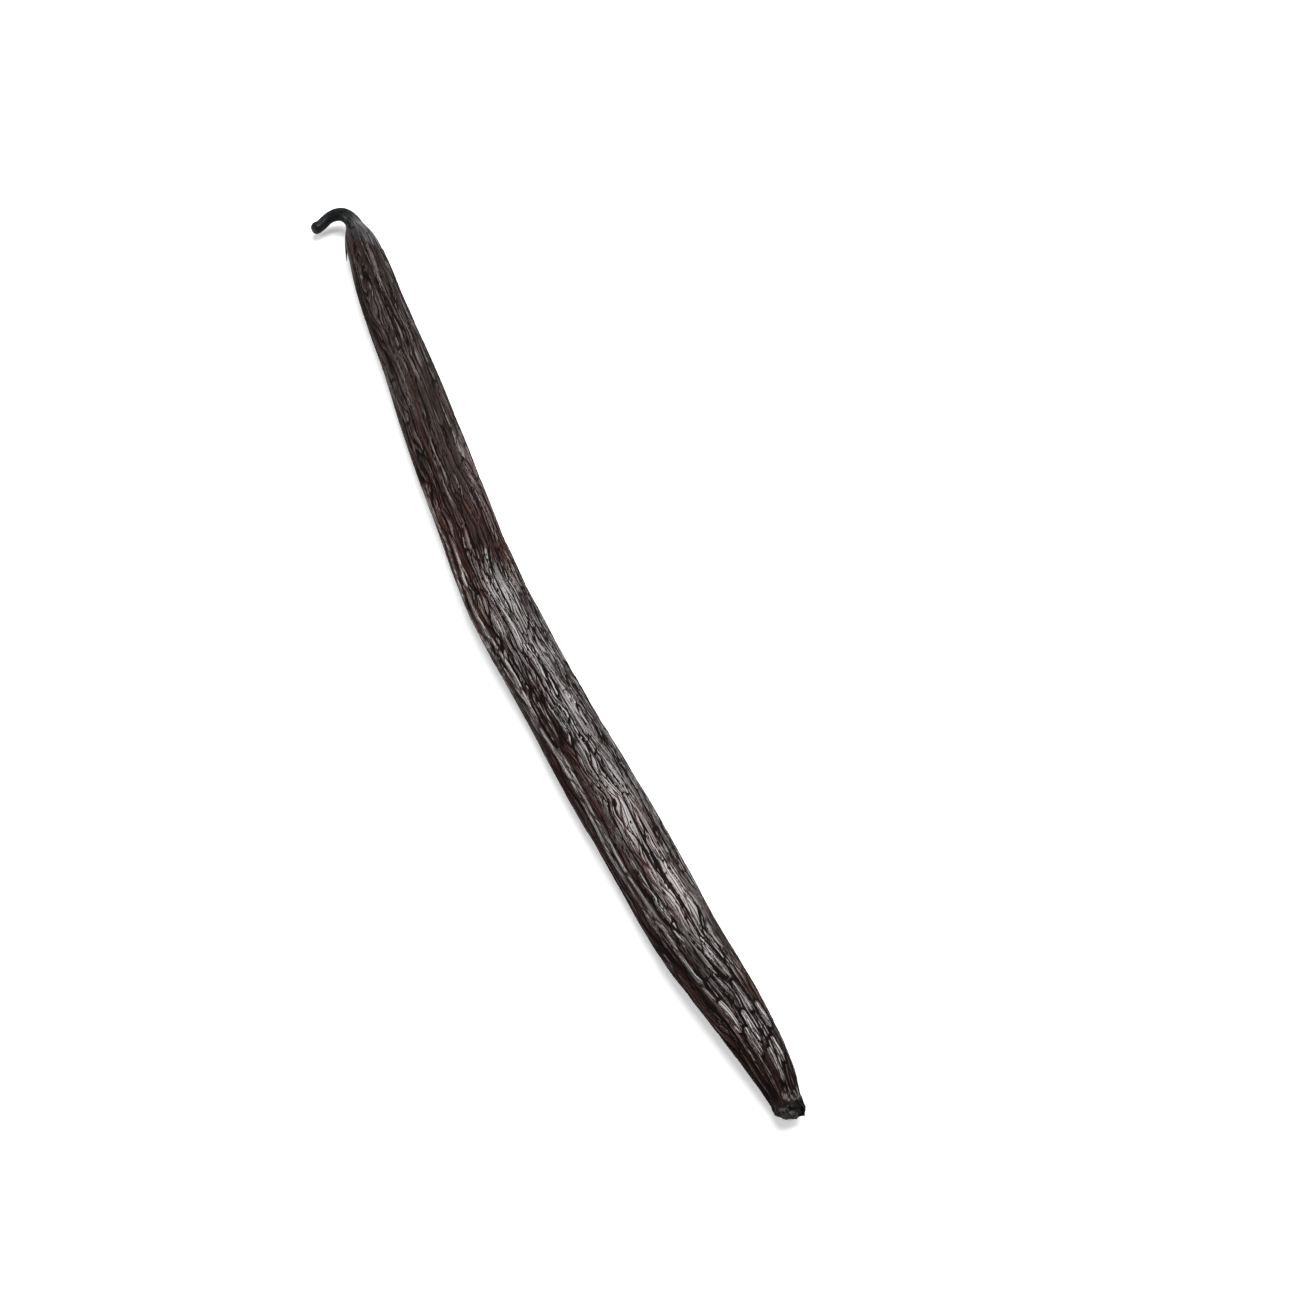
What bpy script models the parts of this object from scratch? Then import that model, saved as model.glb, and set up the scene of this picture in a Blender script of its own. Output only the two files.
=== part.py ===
"""A cured vanilla pod lying on its side: one solid.

The body is a long flattened oval, gently bowed, with blunt folds that run along it and slowly
twist round it. At one end it narrows over a shoulder to a thin stem that hooks sideways. At the
other it tapers to a puckered blossom end, cut off at a slant. Where it rests, the underside is
pressed flat.

X runs along the pod from stem to blossom end, Y across it and Z up. The origin is at the middle
of the pod's footprint, on the surface it rests on. Dimensions below are in millimetres.
"""

import math

import bmesh
import bpy
import numpy as np

MM = 0.001

# The line down the middle of the pod, seen from above, from the stem's tip to the blossom end.
HOOK_ROUTE = [(-85.7, -2.3), (-86.0, -0.7), (-86.7, 1.4), (-86.1, 3.4), (-84.0, 4.3)]
NECK_ROUTE = [(-80.6, 4.0), (-74.2, 3.5), (-66.0, 2.7)]
BODY_ROUTE = [(-52.0, 1.8), (-30.0, -0.2), (-12.0, -1.7), (-1.0, -1.7), (16.0, -1.0)]
END_ROUTE = [(33.0, 0.0), (47.0, 0.7), (59.0, 1.5), (71.0, 3.0), (80.0, 3.7), (87.3, 3.2)]

# Full width at distances along that line.
WIDTH_AT = [
    (0.0, 2.3),  # swollen tip of the stem
    (3.0, 1.85),
    (5.5, 2.3),
    (9.0, 2.8),  # shoulder, where the skin of the pod begins
    (12.5, 4.8),
    (18.0, 6.3),
    (37.0, 7.8),
    (53.0, 9.0),
    (72.0, 9.6),
    (91.0, 10.2),
    (105.0, 9.9),
    (121.0, 10.5),  # fullest part
    (147.0, 10.0),
    (157.0, 9.1),
    (168.0, 7.2),
    (174.0, 5.7),
    (177.0, 4.6),  # waist behind the puckered end
    (180.3, 4.4),
]
# Thickness over width: round at the stem, a flattened oval in the body.
FLATNESS_AT = [
    (0.0, 1.0),
    (9.0, 0.95),
    (20.0, 0.72),
    (50.0, 0.60),
    (130.0, 0.57),  # the body's middle
    (165.0, 0.68),
    (180.3, 0.88),
]
# Height of the underside over the surface that the pod rests on. Below zero it is pressed flat.
LIFT_AT = [
    (0.0, 0.5),
    (6.0, 1.3),  # the hook arches up from its tip
    (14.0, 1.1),
    (32.0, 0.3),
    (48.0, -0.35),  # the body lies on its underside from here
    (146.0, -0.35),  # to here
    (165.0, 0.2),
    (180.3, 0.5),
]

TIP_CAP = 1.0  # length over which the stem's tip closes
END_CAP = 1.2  # length over which the blossom end closes
END_SLANT = 0.35  # how far the blossom end's face leans back, per unit across the pod
END_SLANT_LENGTH = 5.0

# Blunt folds along the body: how many go round, how deep as a share of the radius, and how each
# is turned. Three make the pod's own three-sided section, the others are its largest folds.
FOLDS = [(3, 0.028, 0.6), (5, 0.022, 2.1), (8, 0.018, 4.0)]
FOLDS_START, FOLDS_FULL = 9.0, 30.0  # distances over which the folds come in
TWIST_TURNS = -0.22  # turns that the folds make round the pod over its whole length
WAVER_LENGTH = 41.0  # the folds waver sideways with this wavelength,
WAVER = 0.16  # by this many radians
SWELL_LENGTH = 29.0  # they deepen and fade with this wavelength,
SWELL = 0.35  # by this share

PUCKERS = 7  # short pleats round the blossom end
PUCKER_DEPTH = 0.06  # as a share of the radius
PUCKER_START = 162.0

DIRECTION_REACH = 0.2  # how far each way the pod's direction at a ring is taken over
SEGMENTS_ROUND = 40
CAP_RINGS = 4
BODY_RINGS = 114
FINE_RINGS = 0.22  # ring spacing at the hook and the blossom end, over that of the middle
FINE_TO, COARSE_FROM = 12.0, 34.0  # distances from the tip between which the spacing opens out
END_FINE = 24.0  # distance from the blossom end at which it starts to close again


def smooth_path(points, samples=2000):
    """Points along a Catmull-Rom curve through the given ones, as an array."""
    points = np.array(points, float)
    ghosts = np.vstack([2 * points[0] - points[1], points, 2 * points[-1] - points[-2]])
    position = np.linspace(0, len(points) - 1 - 1e-9, samples)
    span = position.astype(int)
    t = (position - span)[:, None]
    before, start, end, after = (ghosts[span + k] for k in range(4))
    return 0.5 * (
        2 * start
        + (end - before) * t
        + (2 * before - 5 * start + 4 * end - after) * t**2
        + (3 * start - before - 3 * end + after) * t**3
    )


def travelled(path):
    """Distance from the start of the path to each of its points."""
    steps = np.linalg.norm(np.diff(path, axis=0), axis=1)
    return np.concatenate([[0], np.cumsum(steps)])


def eased(stations, distance):
    """A smooth curve through (distance, value) stations, without overshoot between them."""
    where, value = np.array(stations, float).T
    slope = np.gradient(value, where)
    turning = np.diff(value)[:-1] * np.diff(value)[1:] <= 0
    slope[1:-1][turning] = 0
    k = np.clip(np.searchsorted(where, distance) - 1, 0, len(where) - 2)
    gap = where[k + 1] - where[k]
    t = np.clip((distance - where[k]) / gap, 0, 1)
    ends = value[k] * (1 + 2 * t) * (1 - t) ** 2 + value[k + 1] * t**2 * (3 - 2 * t)
    return ends + gap * t * (1 - t) * (slope[k] * (1 - t) - slope[k + 1] * t)


def step_up(distance, start, full):
    """0 before start, 1 after full, and a smooth rise between."""
    share = np.clip((distance - start) / (full - start), 0, 1)
    return share * share * (3 - 2 * share)


def ring_distances(length):
    """Distances of the rings, closer together at the hook and at the blossom end."""
    cap = 1 - np.cos(np.linspace(0, math.pi / 2, CAP_RINGS + 1)[1:-1])
    fine = np.linspace(TIP_CAP, length - END_CAP, 4000)
    near_tip = 1 - step_up(fine, FINE_TO, COARSE_FROM)
    near_end = step_up(fine, length - END_FINE, length)
    spacing = 1 - (1 - FINE_RINGS) * np.maximum(near_tip, near_end)
    count = np.concatenate([[0], np.cumsum(np.diff(fine) / spacing[1:])])
    middle = np.interp(np.linspace(0, count[-1], BODY_RINGS), count, fine)
    return np.concatenate([TIP_CAP * cap, middle, length - END_CAP * cap[::-1]])


def closing(distance, length):
    """The share of its full size that the section has inside the two rounded end caps."""
    nearest = min(distance / TIP_CAP, (length - distance) / END_CAP, 1)
    return math.sqrt(1 - (1 - nearest) ** 2)


def fold_factor(angle, distance, length):
    """How far out the folds and the puckers put the surface, as a factor on the radius."""
    turn = 2 * math.pi * TWIST_TURNS * distance / length
    waver = WAVER * math.sin(2 * math.pi * distance / WAVER_LENGTH)
    local = angle - turn - waver
    folds = 0
    for count, depth, phase in FOLDS:
        swell = 1 + SWELL * math.sin(2 * math.pi * distance / SWELL_LENGTH + phase)
        folds = folds + depth * swell * np.cos(count * local + phase)
    folds = folds * step_up(distance, FOLDS_START, FOLDS_FULL)
    puckers = PUCKER_DEPTH * np.cos(PUCKERS * local) * step_up(distance, PUCKER_START, length)
    return 1 + folds + puckers


def pod_rings():
    """The rings of the pod's surface, and the two points that close it, in millimetres."""
    route = smooth_path(HOOK_ROUTE + NECK_ROUTE + BODY_ROUTE + END_ROUTE)
    reached = travelled(route)
    length = reached[-1]
    angle = np.linspace(0, 2 * math.pi, SEGMENTS_ROUND, endpoint=False)

    def middle(distance):
        """The middle of the section at a distance, with its full width and thickness."""
        x, y = (np.interp(distance, reached, route[:, axis]) for axis in (0, 1))
        width = eased(WIDTH_AT, distance)
        thickness = width * eased(FLATNESS_AT, distance)
        return np.array([x, y, thickness / 2 + eased(LIFT_AT, distance)]), width, thickness

    rings = []
    for distance in ring_distances(length):
        centre, width, thickness = middle(distance)
        before, _, _ = middle(max(distance - DIRECTION_REACH, 0))
        after, _, _ = middle(min(distance + DIRECTION_REACH, length))
        ahead = (after - before) / np.linalg.norm(after - before)
        across = np.cross([0, 0, 1], ahead)
        across /= np.linalg.norm(across)
        upward = np.cross(ahead, across)
        size = closing(distance, length) * fold_factor(angle, distance, length)
        sideways = size * np.cos(angle) * width / 2
        vertical = size * np.sin(angle) * thickness / 2
        slant = END_SLANT * step_up(distance, length - END_SLANT_LENGTH, length) * sideways
        rings.append(
            centre + np.outer(sideways, across) + np.outer(vertical, upward) + np.outer(slant, ahead)
        )
    return np.array(rings), middle(0)[0], middle(length)[0]


def pressed_flat(points):
    """The same points with none below the surface that the pod rests on."""
    points = points.copy()
    points[..., 2] = np.maximum(points[..., 2], 0)
    return points


def pod_mesh():
    """A closed mesh of the whole pod, in metres, with its footprint's middle at the origin."""
    rings, tip, end = pod_rings()
    rings = pressed_flat(rings)
    low, high = rings.min(axis=(0, 1)), rings.max(axis=(0, 1))
    footprint = np.array([(low[0] + high[0]) / 2, (low[1] + high[1]) / 2, 0])

    shape = bmesh.new()

    def vertex(point):
        return shape.verts.new((point - footprint) * MM)

    loops = [[vertex(point) for point in ring] for ring in rings]
    for loop, following in zip(loops, loops[1:]):
        for k in range(SEGMENTS_ROUND):
            j = (k + 1) % SEGMENTS_ROUND
            shape.faces.new((loop[k], loop[j], following[j], following[k]))
    for loop, point in [(loops[0], tip), (loops[-1], end)]:
        apex = vertex(point)
        for k in range(SEGMENTS_ROUND):
            shape.faces.new((loop[k], loop[(k + 1) % SEGMENTS_ROUND], apex))
    bmesh.ops.recalc_face_normals(shape, faces=shape.faces)
    bmesh.ops.triangulate(shape, faces=shape.faces)

    mesh = bpy.data.meshes.new("vanilla_pod")
    shape.to_mesh(mesh)
    shape.free()
    mesh.shade_smooth()
    return mesh


def pod_skin():
    """Dark brown, slightly oily skin."""
    material = bpy.data.materials.new("pod_skin")
    material.use_nodes = True
    shader = material.node_tree.nodes["Principled BSDF"]
    shader.inputs["Base Color"].default_value = (0.035, 0.018, 0.013, 1)
    shader.inputs["Roughness"].default_value = 0.38
    shader.inputs["Metallic"].default_value = 0
    return material


def clear_scene():
    for old in list(bpy.data.objects):
        bpy.data.objects.remove(old, do_unlink=True)


def main():
    clear_scene()
    pod = bpy.data.objects.new("vanilla_pod", pod_mesh())
    pod.data.materials.append(pod_skin())
    bpy.context.scene.collection.objects.link(pod)


main()
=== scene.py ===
"""Looks of a cured vanilla pod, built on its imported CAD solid.

The pod's skin is one fine mesh. Its large shape is traced from the CAD solid, and its folds,
wrinkles, creases and puckers are pressed into it here. Lengths are in millimetres unless a name
says otherwise, and are turned into metres where the mesh is made.
"""
import math

import bpy
import numpy as np
from mathutils import Matrix, Vector
from mathutils.bvhtree import BVHTree


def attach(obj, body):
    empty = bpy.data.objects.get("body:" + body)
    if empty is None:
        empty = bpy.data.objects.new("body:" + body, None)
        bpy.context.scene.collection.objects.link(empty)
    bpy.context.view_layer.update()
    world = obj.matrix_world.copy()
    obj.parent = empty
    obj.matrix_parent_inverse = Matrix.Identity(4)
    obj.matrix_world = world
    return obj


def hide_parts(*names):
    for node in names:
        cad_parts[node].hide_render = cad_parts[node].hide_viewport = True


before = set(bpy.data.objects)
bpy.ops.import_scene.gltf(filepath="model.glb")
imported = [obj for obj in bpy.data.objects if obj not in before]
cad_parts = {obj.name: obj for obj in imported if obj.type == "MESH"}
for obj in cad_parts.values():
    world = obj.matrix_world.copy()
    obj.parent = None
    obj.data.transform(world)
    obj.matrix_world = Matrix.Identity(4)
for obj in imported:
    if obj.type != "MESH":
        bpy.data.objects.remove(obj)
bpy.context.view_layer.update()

MM = 0.001
NODE = "vanilla_pod"

# The line down the middle of the pod, seen from above, as in the CAD model.
HOOK_ROUTE = [(-85.7, -2.3), (-86.0, -0.7), (-86.7, 1.4), (-86.1, 3.4), (-84.0, 4.3)]
NECK_ROUTE = [(-80.6, 4.0), (-74.2, 3.5), (-66.0, 2.7)]
BODY_ROUTE = [(-52.0, 1.8), (-30.0, -0.2), (-12.0, -1.7), (-1.0, -1.7), (16.0, -1.0)]
END_ROUTE = [(33.0, 0.0), (47.0, 0.7), (59.0, 1.5), (71.0, 3.0), (80.0, 3.7), (87.3, 3.2)]

# The skin's grid.
COLUMNS = 220
ROWS = 450
END_MARGIN = 0.06  # how far inside each end the first and last rings lie
FACET_BLUR_ROUND = 3.2  # columns over which the CAD solid's facets are smoothed away
FACET_BLUR_ALONG = 2.5  # rows, likewise

REFERENCE_RADIUS = 3.9  # of the round bar on which the wrinkle pattern is laid out
TWIST_TURNS = -0.22
# Distance along the pod, and how far the plates have got by then: they are longer near the stem.
PLATE_STRETCH = [(0, 0), (60, 40), (185, 165)]

# Places on the pod are given by the distance s along it from the stem's tip, and by the side that
# they face in degrees: 0 faces +Y, 90 up and 180 -Y.
# Smooth places: s, side, reach along, reach round in degrees.
CALM_PLATES = [
    (87, 68, 6, 45),
    (99.5, 52, 4.5, 50),
    (109, 61, 6, 50),
    (127, 86, 10, 55),
    (142, 75, 8, 60),
]
# Raised wet plates near the blossom end: s, side, reach along, reach round in degrees.
GLOSSY_PLATES = [
    (172.6, 84, 2.6, 11),
    (170.6, 60, 2.0, 9),
    (168.2, 108, 2.4, 10),
    (166.0, 92, 2.6, 9),
    (163.4, 123, 2.8, 11),
    (161.6, 72, 2.6, 9),
    (165.2, 48, 2.2, 10),
]
# Dull places, with little oil: s, side, reach along, reach round in degrees.
DULL_PATCHES = [
    (126, 145, 12, 45),
    (162, 40, 6, 42),
    (151, 22, 8, 40),
]
# Folds across the pod: s, side, half width, slope.
CREASES = [
    (96, 35, 2.6, 0.5),
    (106, 40, 3.0, -0.7),
    (139, 62, 3.4, 0.6),
    (158, 75, 3.6, -0.8),
    (167, 60, 2.6, 0.5),
]
# Ridges along the pod: from s, to s, side.
RIDGES = [
    (104, 150, 150),
    (112, 134, 141),
    (126, 172, 137),
    (60, 98, 160),
    (72, 110, 145),
    (84, 121, 262),
    (30, 75, 310),
]
# Redder places: s, side, reach along, reach round in degrees.
RUSSET_PATCHES = [
    (75, 140, 22, 70),
    (161, 14, 5, 50),
    (133, 165, 30, 60),
    (168, 150, 8, 60),
    (108, 140, 16, 45),
    (95, 300, 30, 80),
]
GRIT_SPOT = (177.0, 72, 1.1, 50)
SPECK_SPOT = (179.5, 130, 0.8, 50)
FRAY_FROM, FRAY_TO = 10.8, 16.2
FRAY_SIDE = 186
FRAY_LIFT = 0.6
FRAY_WIDTH = 0.7
FRAY_THICKNESS = 0.55

# Camera and lights.
CAMERA_AZIMUTH = 65.9
CAMERA_ELEVATION = 60.0
CAMERA_DISTANCE = 465.0
CAMERA_AIM = (8.0, 16.0, 0.0)
CAMERA_LENS = 85.0


# ---- Curves and noise ----------------------------------------------------------------------


def smooth_path(points, samples=2000):
    """Points along a Catmull-Rom curve through the given ones, as an array."""
    points = np.array(points, float)
    ghosts = np.vstack([2 * points[0] - points[1], points, 2 * points[-1] - points[-2]])
    position = np.linspace(0, len(points) - 1 - 1e-9, samples)
    span = position.astype(int)
    t = (position - span)[:, None]
    before, start, end, after = (ghosts[span + k] for k in range(4))
    return 0.5 * (
        2 * start
        + (end - before) * t
        + (2 * before - 5 * start + 4 * end - after) * t**2
        + (3 * start - before - 3 * end + after) * t**3
    )


def step_up(value, start, full):
    """0 before start, 1 after full, and a smooth rise between."""
    share = np.clip((value - start) / (full - start), 0, 1)
    return share * share * (3 - 2 * share)


def bump_at(value, middle, reach):
    """1 at the middle, falling smoothly to 0 at about twice the reach from it."""
    return np.exp(-(((value - middle) / reach) ** 2))


def noise(x, y, z, seed):
    """Smooth gradient noise between about -1 and 1, over points given as arrays."""
    table = np.random.default_rng(seed).permutation(256)
    table = np.concatenate([table, table, table])
    turns = np.random.default_rng(seed + 1).normal(size=(256, 3))
    turns /= np.linalg.norm(turns, axis=1)[:, None]
    point = np.stack(np.broadcast_arrays(x, y, z), axis=-1).astype(float)
    cell = np.floor(point).astype(int)
    offset = point - cell
    cell &= 255
    fade = offset**3 * (offset * (offset * 6 - 15) + 10)
    total = 0
    for corner in np.ndindex(2, 2, 2):
        at = cell + corner
        key = table[table[table[at[..., 0]] + at[..., 1]] + at[..., 2]]
        weight = np.prod(np.where(np.array(corner) == 1, fade, 1 - fade), axis=-1)
        total = total + weight * np.sum(turns[key] * (offset - corner), axis=-1)
    return total * 1.6


# ---- The large shape, traced from the CAD solid ----------------------------------------------


def row_distances(length):
    """Distances of the rings along the pod, closer together at the hook and the blossom end."""
    fine = np.linspace(END_MARGIN, length - END_MARGIN, 6000)
    near_tip = 1 - step_up(fine, 10, 26)
    near_end = step_up(fine, length - 30, length - 10)
    spacing = 1 - 0.5 * np.maximum(near_tip, near_end)
    count = np.concatenate([[0], np.cumsum(np.diff(fine) / spacing[1:])])
    return np.interp(np.linspace(0, count[-1], ROWS), count, fine)


def blurred(values, reach, axis, wrap):
    """values smoothed along an axis with a bell of the given reach in steps."""
    half = int(3 * reach) + 1
    bell = np.exp(-0.5 * (np.arange(-half, half + 1) / reach) ** 2)
    bell /= bell.sum()
    size = values.shape[axis]
    index = np.arange(size)
    total = 0
    for step, weight in zip(range(-half, half + 1), bell):
        at = index + step
        at = at % size if wrap else np.clip(at, 0, size - 1)
        total = total + weight * np.take(values, at, axis=axis)
    return total


class Skin:
    """The traced grid: ring centres, surface points, outward normals and pattern coordinates."""

    def __init__(self, cad_object):
        mesh = cad_object.data
        tree = BVHTree.FromPolygons(
            [v.co.copy() for v in mesh.vertices], [tuple(p.vertices) for p in mesh.polygons]
        )
        route = smooth_path(HOOK_ROUTE + NECK_ROUTE + BODY_ROUTE + END_ROUTE) * MM
        steps = np.linalg.norm(np.diff(route, axis=0), axis=1)
        reached = np.concatenate([[0], np.cumsum(steps)]) / MM
        self.length = reached[-1]
        self.distance = row_distances(self.length)
        flat = np.stack([np.interp(self.distance, reached, route[:, k]) for k in (0, 1)], axis=1)
        centre = self.centred(tree, flat)
        ahead = np.gradient(centre, axis=0)
        ahead /= np.linalg.norm(ahead, axis=1)[:, None]
        across = np.cross([0, 0, 1], ahead)
        across /= np.linalg.norm(across, axis=1)[:, None]
        upward = np.cross(ahead, across)
        self.trace(tree, centre, across, upward)

    def centred(self, tree, flat):
        """Each point of the route, at half the solid's height there."""
        centre = []
        for x, y in flat:
            down = tree.ray_cast(Vector((x, y, 1)), Vector((0, 0, -1)))[0]
            up = tree.ray_cast(Vector((x, y, -1)), Vector((0, 0, 1)))[0]
            centre.append((x, y, (down.z + up.z) / 2))
        centre = np.array(centre)
        centre[:, 2] = blurred(centre[:, 2], 4, 0, wrap=False)
        return centre

    def trace(self, tree, centre, across, upward):
        """Casts rays outwards from the route to the solid, and smooths away its facets."""
        turn = np.linspace(0, 2 * math.pi, COLUMNS, endpoint=False)
        reach = np.empty((ROWS, COLUMNS))
        lean = np.empty((ROWS, COLUMNS, 3))
        for i in range(ROWS):
            start = Vector(centre[i])
            half_width = tree.ray_cast(start, Vector(across[i]))[3]
            half_height = tree.ray_cast(start, Vector(upward[i]))[3]
            flatness = min(1, half_height / half_width)
            direction = np.outer(np.cos(turn), across[i]) + flatness * np.outer(
                np.sin(turn), upward[i]
            )
            lean[i] = direction / np.linalg.norm(direction, axis=1)[:, None]
            reach[i] = [tree.ray_cast(start, Vector(d))[3] for d in lean[i]]
        reach = blurred(reach, FACET_BLUR_ROUND, 1, wrap=True)
        body = reach[6:-6]
        reach[6:-6] = blurred(body, FACET_BLUR_ALONG, 0, wrap=False)
        self.centre = centre
        self.points = (centre[:, None] + reach[..., None] * lean) / MM
        self.normals = grid_normals(self.points)
        gap = np.linalg.norm(np.roll(self.points, -1, axis=1) - self.points, axis=2)
        self.around = gap.sum(axis=1)
        self.angle = 2 * math.pi * (np.cumsum(gap, axis=1) - gap) / self.around[:, None]
        self.gap = gap


def grid_normals(points):
    """Outward normals of a closed ring grid."""
    along = np.gradient(points, axis=0)
    around = np.roll(points, -1, axis=1) - np.roll(points, 1, axis=1)
    normal = np.cross(around, along)
    return normal / np.maximum(np.linalg.norm(normal, axis=2)[..., None], 1e-9)


# ---- Folds and wrinkles ----------------------------------------------------------------------


class Pattern:
    """Noise, spots and plates laid out along and round the pod, twisting slowly with it."""

    def __init__(self, skin):
        self.s = skin.distance[:, None] * np.ones((1, COLUMNS))
        self.to_end = skin.length - self.s
        self.stretched = np.interp(self.s, *np.array(PLATE_STRETCH).T)
        self.round = np.degrees(skin.angle)  # 0 on the +Y side, 90 on top
        self.around = skin.around[:, None]
        turns = skin.angle / (2 * math.pi) - TWIST_TURNS * self.s / skin.length
        self.x, self.y = self.on_bar(turns)
        waver = 1.2 * self.drift(25, 5.5, 71) + 0.6 * self.drift(8, 2.4, 72)
        waver += 0.2 * self.drift(3, 1.1, 73)
        self.turns = turns + waver / self.around
        self.flow_x, self.flow_y = self.on_bar(self.turns)

    def on_bar(self, turns):
        """The point at these turns round the reference bar."""
        angle = 2 * math.pi * turns
        return REFERENCE_RADIUS * np.cos(angle), REFERENCE_RADIUS * np.sin(angle)

    def drift(self, along, across, seed):
        """Noise that changes over the given lengths along and across the pod."""
        return noise(self.s / along + 31.7, self.x / across, self.y / across, seed)

    def facing(self, side, wide):
        """1 on the side at this angle, falling to 0 at wide degrees away from it."""
        return step_up(np.cos(np.radians(self.round - side)), np.cos(np.radians(wide)), 1)

    def spot(self, s, side, along, wide):
        """1 at a place, falling smoothly to 0 round it."""
        return bump_at(self.s, s, along) * self.facing(side, wide)

    def across(self, side):
        """Millimetres round the pod from the line that faces this side."""
        return (np.mod(self.round - side + 180, 360) - 180) / 360 * self.around

    def plates(self, count, length, seed):
        """Long lens-shaped plates, count of them round the pod. Returns each point's distance in
        millimetres to the nearest edge of its plate, how far it lies sideways from its plate's
        middle, and a random number for each plate."""
        rng = np.random.default_rng(seed)
        rows = int(self.s.max() / length) + 6
        jitter = rng.uniform(0.05, 0.95, (count, rows, 2))
        number = rng.random((count, rows))
        width = self.around / count
        across = count * self.turns
        along = self.stretched / length + 2.5 + 0.25 * self.drift(7, 2.0, seed + 1)
        cell_a, cell_b = np.floor(across).astype(int), np.floor(along).astype(int)

        def site(a, b):
            key = ((cell_a + a) % count, np.clip(cell_b + b, 0, rows - 1))
            place = jitter[key]
            return cell_a + a + place[..., 0] - across, cell_b + b + place[..., 1] - along, number[key]

        offsets = [(a, b) for a in range(-2, 3) for b in range(-2, 3)]
        nearest = np.full(self.s.shape, np.inf)
        own_a, own_b, own = (np.zeros(self.s.shape) for _ in range(3))
        for offset in offsets:
            da, db, random = site(*offset)
            closer = da**2 + db**2 < nearest
            nearest = np.where(closer, da**2 + db**2, nearest)
            own_a, own_b = np.where(closer, da, own_a), np.where(closer, db, own_b)
            own = np.where(closer, random, own)
        edge = np.full(self.s.shape, np.inf)
        for offset in offsets:
            da, db, _ = site(*offset)
            gap_a, gap_b = da - own_a, db - own_b
            gap = np.hypot(gap_a, gap_b)
            apart = gap > 1e-6
            gap = np.where(apart, gap, 1)
            reach = ((da + own_a) * gap_a + (db + own_b) * gap_b) / (2 * gap)
            steepness = np.hypot(gap_a / gap / width, gap_b / gap / length)
            edge = np.where(apart, np.minimum(edge, reach / steepness), edge)
        return np.maximum(edge, 0), -own_a * width, own


def spots(p, places):
    return np.max([p.spot(*place) for place in places], axis=0)


def crease_gap(p):
    """Distance to the nearest of the short folds that cross the plates where the pod bent."""
    nearest = np.full(p.s.shape, np.inf)
    for s, side, half, slant in CREASES:
        across = p.across(side)
        away = np.abs(p.s - s - slant * across - 0.12 * across**2 - 0.5 * p.drift(5, 2, 91))
        within = step_up(np.abs(across), half, 0.3 * half)
        nearest = np.minimum(nearest, away / np.maximum(within, 0.01))
    return nearest


def ridges(p):
    """Sharp lines of skin that stand up along the pod."""
    total = np.zeros_like(p.s)
    for start, end, side in RIDGES:
        away = p.across(side) - 0.9 * p.drift(15, 40, 93)
        length = step_up(p.s, start, start + 6) * step_up(p.s, end, end - 6)
        total = np.maximum(total, bump_at(away, 0, 0.19) * length)
    return total


def wrinkles(p):
    """The dried skin: plates of four sizes with sharp lines between them. Returns its height,
    the distance to the nearest line (farther, the weaker the line) and a random tone per plate."""
    large, _, _ = p.plates(9, 34, 21)
    middle, middle_side, middle_tone = p.plates(18, 17, 22)
    small, small_side, small_tone = p.plates(36, 10, 23)
    fine, _, _ = p.plates(64, 6, 24)
    calm = 1 - 0.85 * spots(p, CALM_PLATES)
    crisp = 0.55 + 0.45 * step_up(p.s, 45, 85)
    wrinkled = 0.2 + 0.8 * calm * crisp * step_up(p.drift(16, 3.0, 25), -0.7, 0.1)
    crazed = 0.03 + 0.47 * calm * crisp * step_up(p.drift(10, 2.2, 26), -0.4, 0.3)
    gap = np.minimum.reduce(
        [large / 1.3, middle / crisp, small / wrinkled, fine / crazed, crease_gap(p) / 1.2]
    )
    lean = 1.15 + 0.5 * p.facing(165, 75)
    tilt = 0.14 * (middle_tone - 0.5) * middle_side + 0.34 * (small_tone - 0.5) * small_side * calm
    swell = 0.15 * p.drift(24, 3.4, 11) + 0.06 * p.drift(9, 1.8, 12)
    near_end = bump_at(p.to_end, 13, 8)
    beaded = 0.13 * near_end * np.minimum(small, 0.35) / 0.35
    height = swell + lean * tilt + beaded - 0.08 * np.exp(-large / 0.5) - 0.11 * np.exp(-gap / 0.1)
    return height, gap, 0.4 * middle_tone + 0.6 * small_tone


def neck(p):
    """The bare stalk up to the shoulder, where the pod's own skin begins as a low step. On the -Y
    side the two run into each other. Returns its height, how much of each point is stalk, the
    distance to the nearest line on it, and its painted sheen, the upper side painted pale grey."""
    merging = p.facing(190, 110)
    wander = 0.5 * p.drift(3, 1.6, 95) + 0.25 * p.drift(1.2, 0.8, 92)
    past = p.s - 15.0 - 1.6 * np.cos(np.radians(p.round - 20)) + 2.4 * merging - wander
    stem = step_up(past, 0.35 + 2.0 * merging, -0.35 - 2.0 * merging)
    step = (1 - merging) * (0.10 * bump_at(past, 0.4, 0.45) - 0.06 * bump_at(past, -0.3, 0.3))
    edge, side, tone = p.plates(15, 6, 27)
    gap = edge / np.maximum(0.8 * step_up(p.s, 26, 9) * step_up(p.s, 3, 9), 0.01)
    height = step + stem * (0.05 * p.drift(2.2, 2.5, 96) + 0.14 * (tone - 0.5) * side)
    # Painted sheen: the stalk's upper +Y side, where the light falls, is painted pale grey.
    painted_sheen = step_up(p.s, 6.5, 9.5) * (0.22 + 0.78 * p.facing(38, 80))
    return height - 0.07 * np.exp(-gap / 0.1), stem, gap, stem * painted_sheen


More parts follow.
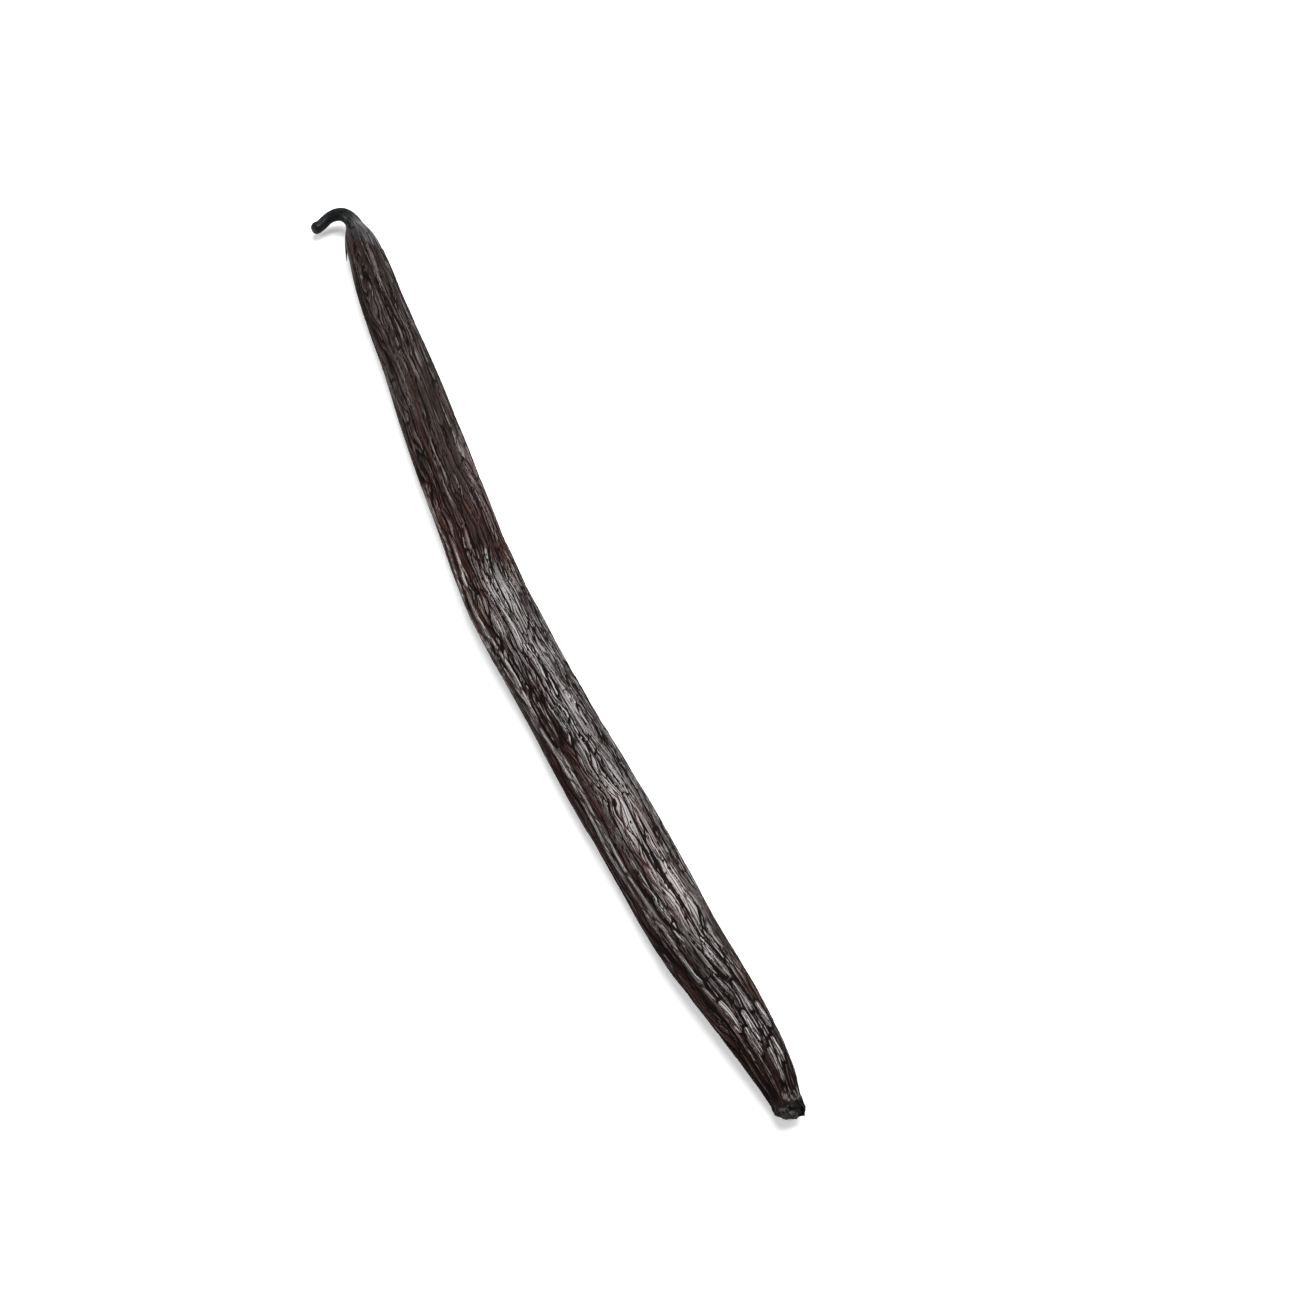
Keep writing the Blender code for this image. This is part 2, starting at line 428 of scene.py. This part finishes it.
def blossom_end(p):
    """A lumpy rim round a pitted scar. Returns its height, and where it is black or gritty."""
    lumps = p.drift(0.9, 1.5, 97) + 0.6 * p.drift(0.45, 0.8, 98)
    beads = 2 * np.abs(p.drift(0.8, 0.8, 99))
    spot = p.spot(*GRIT_SPOT)
    height = 0.13 * step_up(p.to_end, 4.0, 2.2) * lumps + 0.13 * spot * beads
    height -= 0.3 * step_up(p.to_end, 0.9, 0.2)
    burnt = step_up(p.to_end + 0.6 * lumps, 3.1, 1.6) * (1 - 0.3 * p.facing(165, 70))
    grit = step_up(spot, 0.3, 0.6) * step_up(beads, 0.1, 0.4)
    speck = step_up(p.drift(0.6, 0.8, 94), 0.1, 0.3) * p.spot(*SPECK_SPOT)
    return height, burnt, np.maximum(grit, speck)


def oiliness(p, tone, ridge):
    """How wet with oil the skin is: most on the plates that face up and +Y, else in patches."""
    lower = step_up(p.s, 96, 112)
    band = p.facing(58 - 17 * lower, 90 - 8 * lower)
    shown = step_up(p.s, 74, 97) * step_up(p.to_end, 8, 50) * band
    patches = step_up(p.drift(28, 3.6, 81), 0.05, 0.45)
    oil = 0.04 + 0.96 * np.clip(step_up(shown, 0.0, 0.45) + 0.3 * patches, 0, 1)
    oil *= 0.6 + 0.4 * step_up(p.drift(11, 2.0, 82), -0.5, 0.1)
    oil *= 0.6 + 0.4 * step_up(tone, 0.3, 0.6)
    streaks = step_up(p.drift(12, 0.6, 83), 0.1, 0.35) * (0.5 + 0.5 * step_up(p.s, 60, 90))
    near_end = bump_at(p.to_end, 12, 9) * p.facing(85, 115) * (0.1 + 0.85 * step_up(tone, 0.42, 0.6))
    smooth = 0.9 * spots(p, CALM_PLATES)
    skin_oil = np.maximum.reduce([oil, 0.85 * streaks, near_end, smooth])
    return np.maximum(skin_oil * (1 - 0.8 * spots(p, DULL_PATCHES)), ridge)


def relief(skin):
    """How far the finished skin lies above the traced one, and the fields that its material
    reads, which are from 0 to 1 apart from those in millimetres."""
    p = Pattern(skin)
    body = step_up(p.s, 8, 24) * step_up(p.to_end, 1.0, 4)
    skin_height, skin_gap, tone = wrinkles(p)
    neck_height, stem, neck_gap, painted_sheen = neck(p)
    end_height, burnt, grit = blossom_end(p)
    ridge, wet = ridges(p), spots(p, GLOSSY_PLATES)
    wet_rim = np.abs(wet - 0.3) * 1.2
    wet = step_up(wet, 0.25, 0.45)
    height = body * (skin_height + 0.18 * ridge + 0.1 * wet) + neck_height + end_height
    gap = skin_gap / np.maximum(body, 0.05) + 0.3 * ridge + 0.15 * wet
    gap = np.minimum.reduce([gap, wet_rim, neck_gap])
    oil = oiliness(p, tone, np.maximum(ridge, wet)) * (1 - burnt) * step_up(p.to_end, 3, 5)
    # Painted shade: the lower body's -Y side, away from the light, is to be painted darker and redder.
    shaded = p.facing(170, 75) * step_up(p.s, 75, 110)
    russet = 0.8 * step_up(p.drift(26, 4.0, 84), 0.1, 0.45) * step_up(p.s, 30, 60)
    fields = {
        "gap": np.clip(gap, 0, 1),
        "tone": tone,
        "oil": oil + stem * (0.2 - oil),
        "bloom": step_up(p.s, 85, 50) * (1 - stem),
        "russet": np.maximum(russet, spots(p, RUSSET_PATCHES)),
        "shaded": shaded,
        "stem": stem,
        "painted_sheen": painted_sheen,
        "burnt": burnt,
        "grit": grit,
        "along": p.s,
        "flow_x": p.flow_x,
        "flow_y": p.flow_y,
    }
    return height, fields


# ---- Mesh ------------------------------------------------------------------------------------


def grid_faces(rows, columns):
    """The faces of a grid of closed rings, with a fan over each end."""
    row, column = np.meshgrid(np.arange(rows - 1), np.arange(columns), indexing="ij")
    a = row * columns + column
    b = row * columns + (column + 1) % columns
    faces = np.stack([a, b, b + columns, a + columns], axis=-1).reshape(-1, 4).tolist()
    tip, end = rows * columns, rows * columns + 1
    last_row = (rows - 1) * columns
    for j in range(columns):
        following = (j + 1) % columns
        faces.append((j, tip, following))
        faces.append((last_row + j, last_row + following, end))
    return faces


def ring_object(name, points, fields):
    """A closed mesh over a grid of rings in millimetres, with a value of each field per point."""
    rows, columns = points.shape[:2]
    tips = [points[0].mean(axis=0), points[-1].mean(axis=0)]
    vertices = np.vstack([points.reshape(-1, 3), tips]) * MM
    mesh = bpy.data.meshes.new(name)
    mesh.from_pydata(vertices.tolist(), [], grid_faces(rows, columns))
    mesh.shade_smooth()
    for key, values in fields.items():
        ends = [values[0].mean(), values[-1].mean()]
        layer = mesh.attributes.new(key, "FLOAT", "POINT")
        layer.data.foreach_set("value", np.concatenate([values.ravel(), ends]).astype(np.float32))
    made = bpy.data.objects.new(name, mesh)
    bpy.context.scene.collection.objects.link(made)
    return made


def skin_object(skin):
    height, fields = relief(skin)
    points = skin.points + height[..., None] * skin.normals
    points[..., 2] = np.maximum(points[..., 2], 0.0)
    return ring_object("pod_skin", points, fields)


def fray_object(skin):
    """A sliver of skin that has split from the side of the neck, with its free end along the body."""
    column = int(np.argmin(np.abs(np.degrees(skin.angle[200]) - FRAY_SIDE)))
    rows = np.nonzero((skin.distance > FRAY_FROM) & (skin.distance < FRAY_TO))[0]
    free = (skin.distance[rows] - FRAY_FROM) / (FRAY_TO - FRAY_FROM)
    out = skin.normals[rows, column]
    ahead = skin.centre[rows + 1] - skin.centre[rows]
    ahead /= np.linalg.norm(ahead, axis=1)[:, None]
    sideways = np.cross(ahead, out)
    middle = skin.points[rows, column] + (FRAY_LIFT * free**1.3 - 0.15)[:, None] * out
    taper = np.clip(1.03 - free, 0, 1)[:, None] ** 0.7
    turn = np.linspace(0, 2 * math.pi, 12, endpoint=False)
    flat = np.cos(turn)[None, :, None] * (FRAY_WIDTH * taper * sideways)[:, None]
    thick = np.sin(turn)[None, :, None] * (FRAY_THICKNESS * taper * out)[:, None]
    rings = middle[:, None] + flat / 2 + thick / 2
    same = np.ones(rings.shape[:2])
    # The sliver gets a little of the neck's painted pale sheen.
    fields = {"gap": same, "tone": 0.5 * same, "stem": same, "painted_sheen": 0.3 * same, "along": 13 * same}
    return ring_object("neck_fray", rings, fields)


# ---- Materials -------------------------------------------------------------------------------


class Nodes:
    """Short calls for building a material out of nodes."""

    def __init__(self, name):
        self.material = bpy.data.materials.new(name)
        self.material.use_nodes = True
        self.tree = self.material.node_tree
        self.shader = self.tree.nodes["Principled BSDF"]

    def put(self, socket, value):
        """Links a node's output to a socket, or sets the socket to a plain value."""
        if isinstance(value, bpy.types.NodeSocket):
            self.tree.links.new(value, socket)
        else:
            socket.default_value = value

    def attribute(self, name):
        node = self.tree.nodes.new("ShaderNodeAttribute")
        node.attribute_name = name
        return node.outputs["Fac"]

    def sum(self, operation, first, second):
        node = self.tree.nodes.new("ShaderNodeMath")
        node.operation = operation
        self.put(node.inputs[0], first)
        self.put(node.inputs[1], second)
        return node.outputs[0]

    def ramp(self, value, low, high, to_low=0.0, to_high=1.0):
        node = self.tree.nodes.new("ShaderNodeMapRange")
        node.interpolation_type = "SMOOTHSTEP"
        for key, given in zip(("Value", "From Min", "From Max"), (value, low, high)):
            self.put(node.inputs[key], given)
        self.put(node.inputs["To Min"], to_low)
        self.put(node.inputs["To Max"], to_high)
        return node.outputs["Result"]

    def mix(self, share, first, second):
        node = self.tree.nodes.new("ShaderNodeMix")
        node.data_type = "RGBA"
        self.put(node.inputs["Factor"], share)
        for socket, colour in zip((node.inputs[6], node.inputs[7]), (first, second)):
            self.put(socket, (*colour, 1) if isinstance(colour, tuple) else colour)
        return node.outputs[2]

    def place(self, along, across):
        """Where a point lies on the skin, in steps of these lengths in millimetres."""
        place = self.tree.nodes.new("ShaderNodeCombineXYZ")
        self.put(place.inputs[0], self.sum("DIVIDE", self.attribute("flow_x"), across))
        self.put(place.inputs[1], self.sum("DIVIDE", self.attribute("flow_y"), across))
        self.put(place.inputs[2], self.sum("DIVIDE", self.attribute("along"), along))
        return place.outputs[0]

    def grain(self, along, across, detail=2.0):
        """Noise on the skin that changes over these lengths."""
        node = self.tree.nodes.new("ShaderNodeTexNoise")
        self.put(node.inputs["Vector"], self.place(along, across))
        self.put(node.inputs["Scale"], 1.0)
        self.put(node.inputs["Detail"], detail)
        return node.outputs["Fac"]

    def cracks(self, along, across):
        """1 on the hair-thin lines between long cells of these lengths, 0 away from them."""
        node = self.tree.nodes.new("ShaderNodeTexVoronoi")
        node.feature = "DISTANCE_TO_EDGE"
        self.put(node.inputs["Vector"], self.place(along, across))
        self.put(node.inputs["Scale"], 1.0)
        return self.ramp(node.outputs["Distance"], 0.0, 0.12, 1.0, 0.0)


def skin_material():
    """Oily, near-black brown skin: glossy on the plates, dull and painted darker as shade in the
    lines.
    """
    n = Nodes("pod_skin")
    tone, oil = n.attribute("tone"), n.attribute("oil")
    line = n.ramp(n.attribute("gap"), 0.03, 0.125, 1.0, 0.0)
    hair = n.cracks(8.0, 0.42)
    streak = n.ramp(n.grain(9, 0.6), 0.35, 0.65)
    brown = n.mix(streak, (0.0105, 0.0050, 0.0041), (0.0270, 0.0138, 0.0108))
    russet = n.mix(streak, (0.0185, 0.0043, 0.0028), (0.0420, 0.0118, 0.0056))
    colour = n.mix(n.attribute("russet"), brown, russet)
    # Painted shade: the lower body's -Y side is painted darker and redder, in patches.
    shaded = n.sum("MULTIPLY", n.attribute("shaded"), n.ramp(n.grain(14, 1.2), 0.35, 0.6, 1.0, 0.4))
    colour = n.mix(shaded, colour, (0.0105, 0.0024, 0.0017))
    dusty = n.sum("MULTIPLY", n.attribute("bloom"), n.ramp(n.grain(12, 0.8), 0.42, 0.7, 0.0, 0.65))
    colour = n.mix(dusty, colour, (0.046, 0.0335, 0.0315))
    # Painted sheen: pale grey in streaks on the stalk's side that faces the light.
    painted_sheen = n.sum("MULTIPLY", n.attribute("painted_sheen"), n.ramp(n.grain(4.0, 0.5), 0.35, 0.62, 0.3, 1.0))
    stalk = n.mix(painted_sheen, (0.0052, 0.0064, 0.0076), (0.078, 0.075, 0.074))
    colour = n.mix(n.attribute("stem"), colour, stalk)
    colour = n.mix(n.attribute("burnt"), colour, (0.0022, 0.0021, 0.0022))
    colour = n.mix(n.attribute("grit"), colour, (0.130, 0.125, 0.120))
    # Painted shade in the creases: the lines between plates and the hair-thin cracks are painted near
    # black.
    dark = n.sum("MAXIMUM", line, n.sum("MULTIPLY", hair, 0.45))
    colour = n.mix(dark, colour, (0.0024, 0.0012, 0.0010))
    n.put(n.shader.inputs["Base Color"], colour)
    polish = n.ramp(n.sum("ADD", n.grain(5, 0.5), tone), 0.5, 1.4, 0.42, 0.28)
    n.put(n.shader.inputs["Roughness"], n.ramp(line, 0.1, 0.8, polish, 0.65))
    n.shader.inputs["Specular IOR Level"].default_value = 0.04
    n.put(n.shader.inputs["Coat Weight"], n.sum("MULTIPLY", oil, n.ramp(dark, 0.08, 0.5, 1.0, 0.0)))
    n.shader.inputs["Coat Roughness"].default_value = 0.2
    n.shader.inputs["Coat IOR"].default_value = 1.65
    bump = n.tree.nodes.new("ShaderNodeBump")
    bump.inputs["Strength"].default_value = 0.6
    bump.inputs["Distance"].default_value = 0.00006
    n.put(bump.inputs["Height"], n.sum("SUBTRACT", n.grain(1.1, 0.13, 3.0), hair))
    n.put(n.shader.inputs["Normal"], bump.outputs[0])
    n.put(n.shader.inputs["Coat Normal"], bump.outputs[0])
    return n.material


def floor():
    bpy.ops.mesh.primitive_plane_add(size=8)
    made = bpy.context.object
    made.name = "floor"
    material = bpy.data.materials.new("floor")
    material.use_nodes = True
    shader = material.node_tree.nodes["Principled BSDF"]
    shader.inputs["Base Color"].default_value = (0.93, 0.93, 0.93, 1)
    shader.inputs["Roughness"].default_value = 0.9
    shader.inputs["Emission Color"].default_value = (1, 1, 1, 1)
    shader.inputs["Emission Strength"].default_value = 0.28
    shader.inputs["Specular IOR Level"].default_value = 0.1
    made.data.materials.append(material)


# ---- Camera and light ------------------------------------------------------------------------


def direction(azimuth, elevation):
    """From the object towards a viewer at this azimuth and elevation, in degrees."""
    a, e = math.radians(azimuth), math.radians(elevation)
    return Vector((math.sin(a) * math.cos(e), -math.cos(a) * math.cos(e), math.sin(e)))


def aim(thing, target):
    thing.rotation_euler = (target - thing.location).to_track_quat("-Z", "Y").to_euler()


def camera():
    data = bpy.data.cameras.new("camera")
    data.lens = CAMERA_LENS
    data.sensor_width = 36
    made = bpy.data.objects.new("camera", data)
    target = Vector(CAMERA_AIM) * MM
    made.location = target + direction(CAMERA_AZIMUTH, CAMERA_ELEVATION) * CAMERA_DISTANCE * MM
    aim(made, target)
    bpy.context.scene.collection.objects.link(made)
    bpy.context.scene.camera = made


def softbox(name, place_m, across_m, along_m, watts):
    """A soft panel light that faces the pod. along_m is its size in the Y direction."""
    data = bpy.data.lights.new(name, "AREA")
    data.shape = "RECTANGLE"
    data.size, data.size_y = across_m, along_m
    data.energy = watts
    made = bpy.data.objects.new(name, data)
    away = Vector(place_m).normalized()
    sideways = Vector((0, 1, 0)).cross(away).normalized()
    turned = Matrix((sideways, away.cross(sideways), away)).transposed()
    made.matrix_world = Matrix.Translation(place_m) @ turned.to_4x4()
    bpy.context.scene.collection.objects.link(made)


def world_light():
    """Dim all round, for dark reflections, but pale near the horizon behind the floor."""
    world = bpy.data.worlds.new("world")
    world.use_nodes = True
    tree = world.node_tree
    background = tree.nodes["Background"]
    background.inputs["Color"].default_value = (1, 1, 1, 1)
    direction_of_ray = tree.nodes.new("ShaderNodeTexCoord")
    split = tree.nodes.new("ShaderNodeSeparateXYZ")
    fade = tree.nodes.new("ShaderNodeMapRange")
    fade.inputs["From Min"].default_value = 0.03
    fade.inputs["From Max"].default_value = 0.16
    fade.inputs["To Min"].default_value = 1.0
    fade.inputs["To Max"].default_value = 0.2
    tree.links.new(direction_of_ray.outputs["Generated"], split.inputs[0])
    tree.links.new(split.outputs["Z"], fade.inputs["Value"])
    tree.links.new(fade.outputs["Result"], background.inputs["Strength"])
    bpy.context.scene.world = world


def lights():
    world_light()
    softbox("key", (-1.4, 1.86, 3.25), 2.4, 5.3, 350)
    softbox("fill", (-1.5, -2.5, 1.7), 1.0, 2.0, 55)


# ---- The scene -------------------------------------------------------------------------------

skin = Skin(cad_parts[NODE])
pod = skin_object(skin)
pod.data.materials.append(skin_material())
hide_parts(NODE)
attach(pod, "root")
fray = fray_object(skin)
fray.data.materials.append(pod.data.materials[0])
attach(fray, "root")

floor()
camera()
lights()
bpy.context.scene.view_settings.view_transform = "Standard"
